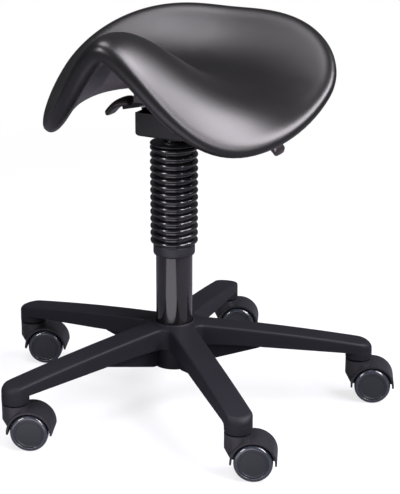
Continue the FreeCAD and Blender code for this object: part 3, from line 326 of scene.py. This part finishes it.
def placed(item, body, slot_name, *replaced):
    """Let a finished piece ride a body and stand for its CAD nodes."""
    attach(item, body)
    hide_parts(*replaced)
    return item


leather = finish("black_synthetic_leather", (0.0055, 0.0053, 0.0056), 0.34, 0.0013, 0.00012)
bm = bmesh.new()
bmesh.ops.create_grid(bm, x_segments=seat_round_steps, y_segments=seat_rows, size=0.5)
for vert in bm.verts:
    turn = 2 * math.pi * (vert.co.x + 0.5)
    row = round((vert.co.y + 0.5) * seat_rows)
    vert.co = seat_skin(turn, row)
    # Under the nose the pad is deeper than its arch is round, so no point crosses the middle.
    if vert.co.x * math.cos(turn) < 0:
        vert.co.x = 0.0
bmesh.ops.remove_doubles(bm, verts=bm.verts, dist=1e-6)
bmesh.ops.recalc_face_normals(bm, faces=bm.faces)
seat = placed(shaped("saddle_skin", bm, leather), "seat", "seat_leather", "seat_cushion")

home = {node: body for body, members in frame["record"]["behaviour"]["bodies"].items() for node in members}


def edged(name, material, slot_name, bevel, steps=3, crease=30):
    """Stand a copy of a CAD node in for it, with merged triangles and rounded edges."""
    bm = bmesh.new()
    bm.from_mesh(nodes[name].data)
    bm.transform(nodes[name].matrix_world)
    bmesh.ops.remove_doubles(bm, verts=bm.verts, dist=2e-6)
    bmesh.ops.dissolve_limit(bm, angle_limit=math.radians(1.5), verts=bm.verts, edges=bm.edges)
    item = shaped(name + "_edged", bm, material)
    rounding = item.modifiers.new("rounding", "BEVEL")
    rounding.width = bevel
    rounding.segments = steps
    rounding.limit_method = "ANGLE"
    rounding.angle_limit = math.radians(crease)
    rounding.harden_normals = True
    item.data.set_sharp_from_angle(angle=math.radians(crease))
    return placed(item, home[name], slot_name, name)


def spun(bm, profile, reach, steps):
    """Turn (radius, height) points about an upright axis that stands at a reach from the middle."""
    points = [bm.verts.new((reach + radius, 0, height)) for radius, height in profile]
    rims = [bm.edges.new(pair) for pair in zip(points, points[1:])]
    bmesh.ops.spin(bm, geom=points + rims, cent=(reach, 0, 0), axis=(0, 0, 1), angle=math.tau, steps=steps)


def turned(name, profile, material, steps=96):
    """A piece turned about the Z axis, closed if its profile ends where it began."""
    bm = bmesh.new()
    spun(bm, profile, 0, steps)
    bmesh.ops.remove_doubles(bm, verts=bm.verts, dist=1e-7)
    bmesh.ops.recalc_face_normals(bm, faces=bm.faces)
    item = shaped(name, bm, material)
    item.data.set_sharp_from_angle(angle=math.radians(35))
    return item


def corner(centre_radius, centre_height, round_radius, first, last, steps=5):
    """Points of a rounded corner between two angles in degrees, counted from outwards to up."""
    turns = [math.radians(first + (last - first) * i / steps) for i in range(steps + 1)]
    return [(centre_radius + round_radius * math.cos(turn), centre_height + round_radius * math.sin(turn))
            for turn in turns]


# Seat shell. The hard tray under the foam, black injection-moulded plastic, with the flat block
# that the seat's bracket is screwed to. Its colour is light grey rather than black: painted
# reflection of the white floor on the seat's underside.
shell_plastic = finish("shell_plastic", (0.150, 0.136, 0.143), 0.55, 0.0010, 0.00006)
edged("seat_shell", shell_plastic, "shell_plastic", 0.0008, 2)

# Tilt mechanism. A tray of pressed steel with a satin black powder coat, welded to the socket of
# the gas lift's cone, and the bracket above it with its two ears and the lock's slotted forks.
mechanism_paint = finish("mechanism_paint", (0.0040, 0.0040, 0.0045), 0.42, 0.0007, 0.00005, coat=0.25)
housing = edged("tilt_housing", mechanism_paint, "mechanism_paint", 0.0010)
tray_top, tray_lip = 0.412, 0.004
for vert in housing.data.vertices:
    if abs(vert.co.z - tray_top) < 0.0002:
        vert.co.z += tray_lip
edged("seat_bracket", mechanism_paint, "mechanism_paint", 0.0008)
edged("lock_forks", mechanism_paint, "mechanism_paint", 0.0006, 2)
edged("taper_socket", mechanism_paint, "mechanism_paint", 0.0008, 2)

# Fasteners of the mechanism. Zinc-plated steel pins, bolts and nuts, in their drilled holes.
zinc = finish("zinc_plate", (0.46, 0.46, 0.48), 0.34, 0.0004, 0.00003, mottle=0.10, metallic=1.0)
for name in ("tilt_pins", "lock_bolt", "cam_pin", "height_lever_pin", "seat_bolts", "t_nuts"):
    edged(name, zinc, "plain_steel", 0.0004, 2)

# Levers. Flat steel bars, painted satin black. The one on the rider's right presses the gas
# lift's valve pin; the one on the left turns the cam of the tilt lock.
lever_paint = finish("lever_paint", (0.0050, 0.0050, 0.0052), 0.38, 0.0008, 0.00004, coat=0.2)
edged("height_lever", lever_paint, "lever_paint", 0.0008)
edged("tilt_lever", lever_paint, "lever_paint", 0.0008)

# Lever paddles. Moulded black plastic, pushed over the bars' ends and bent down at the tips.
paddle_length, paddle_drop, paddle_hump = 0.040, 0.011, 0.003
paddle_steps, paddle_round_steps, paddle_squareness = 40, 32, 3.2
root_half_width, tip_half_width = 0.0100, 0.0150
root_half_height, tip_half_height = 0.0066, 0.0046
paddle_end_share, paddle_tip_share, paddle_end_fullness = 0.12, 0.5, 0.8
height_pivot, tilt_pivot = (-0.027, 0, 0.4215), (0.049, 0.040, 0.398)
paddle_plastic = finish("paddle_plastic", (0.0220, 0.0175, 0.0168), 0.34, 0.0009, 0.00005)


def paddle(name, node, pivot, arm_length, drop, side, insert, rise):
    """A rounded paddle on a lever's end; side is 1 where the lever points to +X."""
    fall = math.atan2(drop, arm_length)
    start = arm_length - paddle_length / 2 - insert
    bm = bmesh.new()
    bmesh.ops.create_grid(bm, x_segments=paddle_steps, y_segments=paddle_round_steps, size=0.5)
    for vert in bm.verts:
        share, turn = vert.co.x + 0.5, math.tau * (vert.co.y + 0.5)
        ends = min(share, (1 - share) / paddle_tip_share, paddle_end_share) / paddle_end_share
        full = math.sqrt(1 - (1 - ends) ** 2) ** paddle_end_fullness
        half_width = (root_half_width + (tip_half_width - root_half_width) * min(share * 2, 1.0)) * full
        half_height = (root_half_height + (tip_half_height - root_half_height) * share) * full
        across, up = math.cos(turn), math.sin(turn)
        across = math.copysign(abs(across) ** (2 / paddle_squareness), across) * half_width
        up = math.copysign(abs(up) ** (2 / paddle_squareness), up) * half_height
        along = start + paddle_length * share
        bend = rise + paddle_hump * math.sin(math.pi * share) - paddle_drop * share ** 2
        vert.co = (side * along, across, up + bend)
    bmesh.ops.remove_doubles(bm, verts=bm.verts, dist=1e-6)
    bmesh.ops.recalc_face_normals(bm, faces=bm.faces)
    bmesh.ops.rotate(bm, verts=bm.verts, cent=(0, 0, 0), matrix=Matrix.Rotation(side * fall, 3, "Y"))
    bmesh.ops.translate(bm, verts=bm.verts, vec=pivot)
    placed(shaped(name, bm, paddle_plastic), home[node], "grip_plastic", node)


paddle("height_paddle", "height_lever_grip", height_pivot, 0.071, 0.017, -1, 0.0150, 0.0065)
paddle("tilt_paddle", "tilt_lever_grip", tilt_pivot, 0.093, 0.022, 1, 0.0175, -0.001)

# Gas lift. A steel pressure tube, painted gloss black, with its polished rod, the rod's foot and
# the valve pin in the cone.
lift_paint = finish("lift_paint", (0.0040, 0.0040, 0.0055), 0.16, 0.0030, 0.00001, coat=0.6)
rod_chrome = finish("rod_chrome", (0.60, 0.60, 0.62), 0.12, 0.0005, 0.00001, mottle=0.06, metallic=1.0)
buffer_rubber = finish("buffer_rubber", (0.020, 0.020, 0.020), 0.75, 0.0012, 0.00010)
edged("gas_cylinder", lift_paint, "lift_paint", 0.0006, 2)
edged("piston_rod", rod_chrome, "plain_steel", 0.0004, 2)
for name in ("release_pin", "rod_clip", "thrust_bearing"):
    edged(name, zinc, "plain_steel", 0.0003, 2)
edged("bump_stop", buffer_rubber, "buffer_rubber", 0.0008, 3)

# Bellows. A glossy black rubber hose of fourteen round ribs. Its smooth cuff is stretched over the
# column's head, and a flat lid hangs on the gas tube.
cuff_bottom, cuff_top = 0.214, 0.229
lid_bottom, lid_top = 0.369, 0.371
cuff_radius, bore_radius = 0.0285, 0.0254
valley_radius, crest_radius = 0.0268, 0.0325
lid_bore, lid_collar_radius, lid_collar_height = 0.0143, 0.0185, 0.002
rib_count, rib_steps, rib_share, rib_fullness = 14, 16, 0.74, 2.2
seat_drop, hose_length = 0.100, lid_bottom - cuff_top
hose_rubber = finish("bellows_rubber", (0.0040, 0.0042, 0.0055), 0.26, 0.0016, 0.000008, coat=0.8, gloss=0.13)
cuff_rubber = finish("cuff_rubber", (0.0100, 0.0108, 0.0140), 0.46, 0.0014, 0.00006)
cuff = turned("bellows_cuff", [
    (bore_radius, cuff_top), (bore_radius, cuff_bottom + 0.001),
    *corner(cuff_radius - 0.003, cuff_bottom + 0.003, 0.003, -90, 0),
    *corner(cuff_radius - 0.001, cuff_top - 0.001, 0.001, 0, 90, 3),
    (bore_radius, cuff_top)], cuff_rubber)
placed(cuff, "spindle", "bellows_rubber", "bellows")


def rib_radius(share):
    """Radius of the hose at a share of one rib's pitch: a full round rib and a narrow valley."""
    beside = min(abs(2 * share - 1) / rib_share, 1.0)
    return valley_radius + (crest_radius - valley_radius) * (1 - beside ** rib_fullness) ** (1 / rib_fullness)


outside = [(rib_radius(i % rib_steps / rib_steps), cuff_top + hose_length * i / (rib_count * rib_steps))
           for i in range(rib_count * rib_steps + 1)]
inside = [(bore_radius, lid_bottom), (bore_radius, cuff_top)]
hose = turned("bellows_hose", outside + inside + outside[:1], hose_rubber)
placed(hose, "spindle", "bellows_rubber", "bellows")
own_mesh(hose)
lid = turned("bellows_lid", [
    (lid_bore, lid_top + lid_collar_height), (lid_bore, lid_bottom), (crest_radius - 0.0005, lid_bottom),
    *corner(crest_radius - 0.001, lid_top - 0.001, 0.001, -60, 90),
    (lid_collar_radius, lid_top), *corner(0.0175, lid_top + 0.001, 0.001, -30, 90, 4),
    (lid_bore, lid_top + lid_collar_height)], cuff_rubber)
placed(lid, "lift", "bellows_rubber", "bellows")

# Column. A steel tube with gloss black powder coat, pressed into the base's hub, with a plastic
# bush in its head that guides the gas lift.
column_bottom, column_top = 0.056, 0.232
column_radius, column_foot_radius, column_bore = 0.025, 0.0242, 0.023
hub_top = 0.118
floor_plate_top, rod_hole = 0.059, 0.0056
column_paint = finish("column_paint", (0.0035, 0.0032, 0.0035), 0.14, 0.0040, 0.00001, coat=0.7, gloss=0.06)
column = turned("column_tube_turned", [
    (column_bore, column_top), (column_bore, floor_plate_top), (rod_hole, floor_plate_top),
    (rod_hole, column_bottom), *corner(column_foot_radius - 0.001, column_bottom + 0.001, 0.001, -90, 0),
    (column_radius, hub_top), *corner(column_radius - 0.0006, column_top - 0.0006, 0.0006, 0, 90, 3),
    (column_bore, column_top)], column_paint, 128)
placed(column, "base", "column_paint", "column_tube")
bush_plastic = finish("bush_plastic", (0.020, 0.020, 0.022), 0.5, 0.0010, 0.00004)
edged("column_bush", bush_plastic, "bush_plastic", 0.0005, 2)

# Base. One moulding of charcoal, finely grained plastic: five hollow arms that run from the hub
# down to a boss each, with a rib inside every arm and a hub ring that grips the column's foot.
arm_count = 5
first_arm = math.radians(-42.4)
arm_half, arm_wall = 0.0182, 0.004
stem_circle = 0.257
hub_corner_round = 0.012
hub_radius, hub_bottom = 0.0295, 0.054
boss_bottom, boss_radius = 0.061, 0.0183
deck_hub_height, deck_boss_height, deck_swell = 0.1170, 0.0862, 0.0020
skirt_hub_height, skirt_knee_height, skirt_boss_height = 0.0868, 0.0825, 0.0722
skirt_knee_reach, skirt_end_reach = 0.122, 0.2475
deck_round, tip_round = 0.0038, 0.0105
half_sector = math.pi / arm_count
fillet_reach = (arm_half + hub_corner_round) / math.sin(half_sector)
fillet_end = fillet_reach * math.cos(half_sector)
corner_steps, straight_steps, tip_steps = 8, 40, 14
deck_rows, roll_rows, wall_rows = 5, 7, 5
base_rows = deck_rows + roll_rows + wall_rows + 3


def deck_height(reach):
    share = (reach - column_radius) / (stem_circle - column_radius)
    swell = deck_swell * 4 * share * (1 - share)
    return deck_hub_height + (deck_boss_height - deck_hub_height) * share + swell


def skirt_height(reach):
    """Height of the arm's lower edge, which drops round a fillet to the boss at its end."""
    if reach < skirt_knee_reach:
        share = max((reach - fillet_end) / (skirt_knee_reach - fillet_end), 0.0)
        return skirt_hub_height + (skirt_knee_height - skirt_hub_height) * share ** 2
    share = (reach - skirt_knee_reach) / (skirt_end_reach - skirt_knee_reach)
    height = skirt_knee_height + (skirt_boss_height - skirt_knee_height) * min(share, 1.0)
    past = min(max((reach - skirt_end_reach) / (stem_circle - skirt_end_reach), 0.0), 1.0)
    return height - (skirt_boss_height - boss_bottom) * (1 - math.sqrt(1 - past ** 2))


def arm_frame(step):
    """Inner point, edge point and outward direction in plan, at a step along half an arm."""
    if step <= corner_steps:
        turn = half_sector * (1 - step / corner_steps)
        swing = math.radians(216 + 54 * step / corner_steps)
        centre = Vector((fillet_end, fillet_reach * math.sin(half_sector)))
        away = Vector((math.cos(swing), math.sin(swing)))
        inner = Vector((math.cos(turn), math.sin(turn))) * column_foot_radius
        return inner, centre + away * hub_corner_round, -away
    if step <= corner_steps + straight_steps:
        share = (step - corner_steps) / straight_steps
        reach = fillet_end + (stem_circle - fillet_end) * share
        inner = column_foot_radius + (stem_circle - column_foot_radius) * share
        return Vector((inner, 0)), Vector((reach, arm_half)), Vector((0, 1))
    swing = math.pi / 2 * (1 - (step - corner_steps - straight_steps) / tip_steps)
    away = Vector((math.cos(swing), math.sin(swing)))
    return Vector((stem_circle, 0)), Vector((stem_circle, 0)) + away * arm_half, away


def arm_point(step, row):
    """A point of half an arm: over the deck, round its edge, down the side and up the inside."""
    inner, edge, away = arm_frame(step)
    tip_share = max((step - corner_steps - straight_steps) / tip_steps, 0.0)
    round_here = deck_round + (tip_round - deck_round) * math.sin(math.pi / 2 * tip_share) ** 1.5
    shoulder = edge - away * round_here
    top = deck_height(shoulder.x)
    low = skirt_height(min(edge.x, stem_circle))
    if row <= deck_rows:
        place = inner + (shoulder - inner) * row / deck_rows
        return Vector((*place, deck_height(place.x)))
    if row <= deck_rows + roll_rows:
        beta = math.pi / 2 * (row - deck_rows) / roll_rows
        place = shoulder + away * round_here * math.sin(beta)
        return Vector((*place, top - round_here * (1 - math.cos(beta))))
    if row <= deck_rows + roll_rows + wall_rows:
        share = (row - deck_rows - roll_rows) / wall_rows
        return Vector((*edge, top - round_here + (low - top + round_here) * share))
    within = edge - away * arm_wall
    if row == base_rows - 2:
        return Vector((*within, low))
    if row == base_rows - 1:
        return Vector((*within, top - round_here - arm_wall / 2))
    return Vector((*inner, deck_height(inner.x) - arm_wall))


base_plastic = finish("base_plastic", (0.0088, 0.0088, 0.0120), 0.56, 0.0007, 0.00006,
                      mottle=0.10, specular=0.20)
steps_along = corner_steps + straight_steps + tip_steps
bm = bmesh.new()
bmesh.ops.create_grid(bm, x_segments=steps_along, y_segments=base_rows, size=0.5)
for vert in bm.verts:
    vert.co = arm_point(round((vert.co.x + 0.5) * steps_along), round((vert.co.y + 0.5) * base_rows))
bmesh.ops.mirror(bm, geom=bm.verts[:] + bm.edges[:] + bm.faces[:], axis="Y", merge_dist=1e-6)

rib_half = 0.0025
rib_foot_reach, rib_knee_reach, rib_knee_height = 0.0375, 0.117, 0.0755
rib_step_reach, rib_end_reach = 0.126, 0.240
rib_profile = [
    (hub_radius - 0.001, hub_bottom + 0.002), (rib_foot_reach, hub_bottom + 0.002),
    (rib_knee_reach, rib_knee_height), (rib_step_reach, skirt_height(rib_step_reach) - 0.001),
    (rib_end_reach, skirt_height(rib_end_reach) - 0.0005),
    (rib_end_reach, deck_height(rib_end_reach) - 0.002),
    (hub_radius - 0.001, deck_height(hub_radius) - 0.002)]
lower = [bm.verts.new((reach, -rib_half, height)) for reach, height in rib_profile]
rib = bm.faces.new(lower)
pushed = bmesh.ops.extrude_face_region(bm, geom=[rib])
far_side = [part for part in pushed["geom"] if isinstance(part, bmesh.types.BMVert)]
bmesh.ops.translate(bm, vec=(0, 2 * rib_half, 0), verts=far_side)

stem_bore, hub_ring_top = 0.0056, 0.113
boss_profile = [(stem_bore, boss_bottom), *corner(boss_radius - 0.0012, boss_bottom + 0.0012, 0.0012, -90, 0),
                (boss_radius, boss_bottom + 0.010), (boss_radius - 0.004, boss_bottom + 0.014)]
spun(bm, boss_profile, stem_circle, 48)

bmesh.ops.spin(bm, geom=bm.verts[:] + bm.edges[:] + bm.faces[:], cent=(0, 0, 0), axis=(0, 0, 1),
               angle=math.tau * (arm_count - 1) / arm_count, steps=arm_count - 1, use_duplicate=True)

hub_profile = [
    (column_foot_radius, hub_bottom), *corner(hub_radius - 0.001, hub_bottom + 0.001, 0.001, -90, 0),
    (hub_radius, hub_ring_top), (column_foot_radius, hub_ring_top)]
spun(bm, hub_profile, 0, 96)
collar_profile = [
    (column_radius + 0.0001, hub_top - 0.002),
    *corner(column_radius + 0.0016, hub_top - 0.0012, 0.0014, 180, 20),
    (column_radius + 0.004, hub_top - 0.0022)]
spun(bm, collar_profile, 0, 96)
bmesh.ops.remove_doubles(bm, verts=bm.verts, dist=1e-6)
bmesh.ops.recalc_face_normals(bm, faces=bm.faces)
bmesh.ops.rotate(bm, verts=bm.verts, cent=(0, 0, 0), matrix=Matrix.Rotation(first_arm, 3, "Z"))
base = shaped("five_star_base_moulded", bm, base_plastic)
base.data.set_sharp_from_angle(angle=math.radians(40))
placed(base, "base", "base_plastic", "five_star_base")
edged("castor_stems", zinc, "plain_steel", 0.0004, 2)
edged("stem_rings", zinc, "plain_steel", 0.0002, 2)

# Castors. Five pairs of wheels under a moulded hood with the swivel's housing beside it. The discs
# are hard plastic, pressed over a plain axle, and a softer grey tread is moulded round each.
castor_angle, castor_trail = math.radians(24.5), 0.020
wheel_radius, tread_depth, wheel_width, wheel_gap = 0.025, 0.0055, 0.0165, 0.007
tread_round, disc_step, axle_bore = 0.0045, 0.0006, 0.0031
castor_plastic = finish("castor_plastic", (0.0105, 0.0105, 0.0130), 0.44, 0.0008, 0.00005, mottle=0.08)
wheel_plastic = finish("wheel_plastic", (0.0150, 0.0165, 0.0210), 0.50, 0.0010, 0.00003, mottle=0.06)
tread_plastic = finish("tread_plastic", (0.0240, 0.0290, 0.0370), 0.20, 0.0020, 0.00002,
                       mottle=0.05, coat=0.9, gloss=0.06)
disc_radius = wheel_radius - tread_depth


def wheel_piece(name, profile, number, side, material):
    """Turn a wheel's profile, lay it on the axle of one castor and on one side of it."""
    item = turned(name, profile, material, 72)
    stem = first_arm + math.tau * (number - 1) / arm_count
    hub = Vector((stem_circle * math.cos(stem), stem_circle * math.sin(stem), wheel_radius))
    hub += Vector((math.cos(castor_angle), math.sin(castor_angle), 0)) * castor_trail
    tip_over = math.radians(-90 if side == "left" else 90)
    lay = Matrix.Rotation(castor_angle, 4, "Z") @ Matrix.Rotation(tip_over, 4, "X")
    item.data.transform(Matrix.Translation(hub) @ lay)
    return item


outer_face = wheel_gap + wheel_width
tread_profile = [
    (disc_radius + 0.0001, wheel_gap), *corner(wheel_radius - 0.0015, wheel_gap + 0.0015, 0.0015, -90, 0, 4),
    *corner(wheel_radius - tread_round, outer_face - tread_round, tread_round, 0, 90, 10),
    *corner(disc_radius + 0.0006, outer_face - 0.0006, 0.0005, 90, 180, 3), (disc_radius + 0.0001, wheel_gap)]
disc_profile = [
    (axle_bore, wheel_gap), (disc_radius, wheel_gap),
    *corner(disc_radius - 0.0005, outer_face - 0.0011, 0.0005, 0, 90, 3),
    (disc_radius - 0.0022, outer_face - disc_step), (disc_radius - 0.0027, outer_face - 2 * disc_step),
    (0.010, outer_face - 0.0010), (0.0001, outer_face - 0.0009)]
for number in range(1, arm_count + 1):
    castor = f"castor_{number}"
    edged(castor + "_body", castor_plastic, "castor_plastic", 0.0011, 3)
    edged(castor + "_axle", zinc, "plain_steel", 0.0003, 2)
    for side in ("left", "right"):
        tread = wheel_piece(f"{castor}_tread_{side}_turned", tread_profile, number, side, tread_plastic)
        placed(tread, f"{castor}_{side}", "tread_rubber", f"{castor}_tread_{side}")
        disc = wheel_piece(f"{castor}_disc_{side}_turned", disc_profile, number, side, wheel_plastic)
        placed(disc, f"{castor}_{side}", "wheel_plastic", f"{castor}_wheel_{side}")
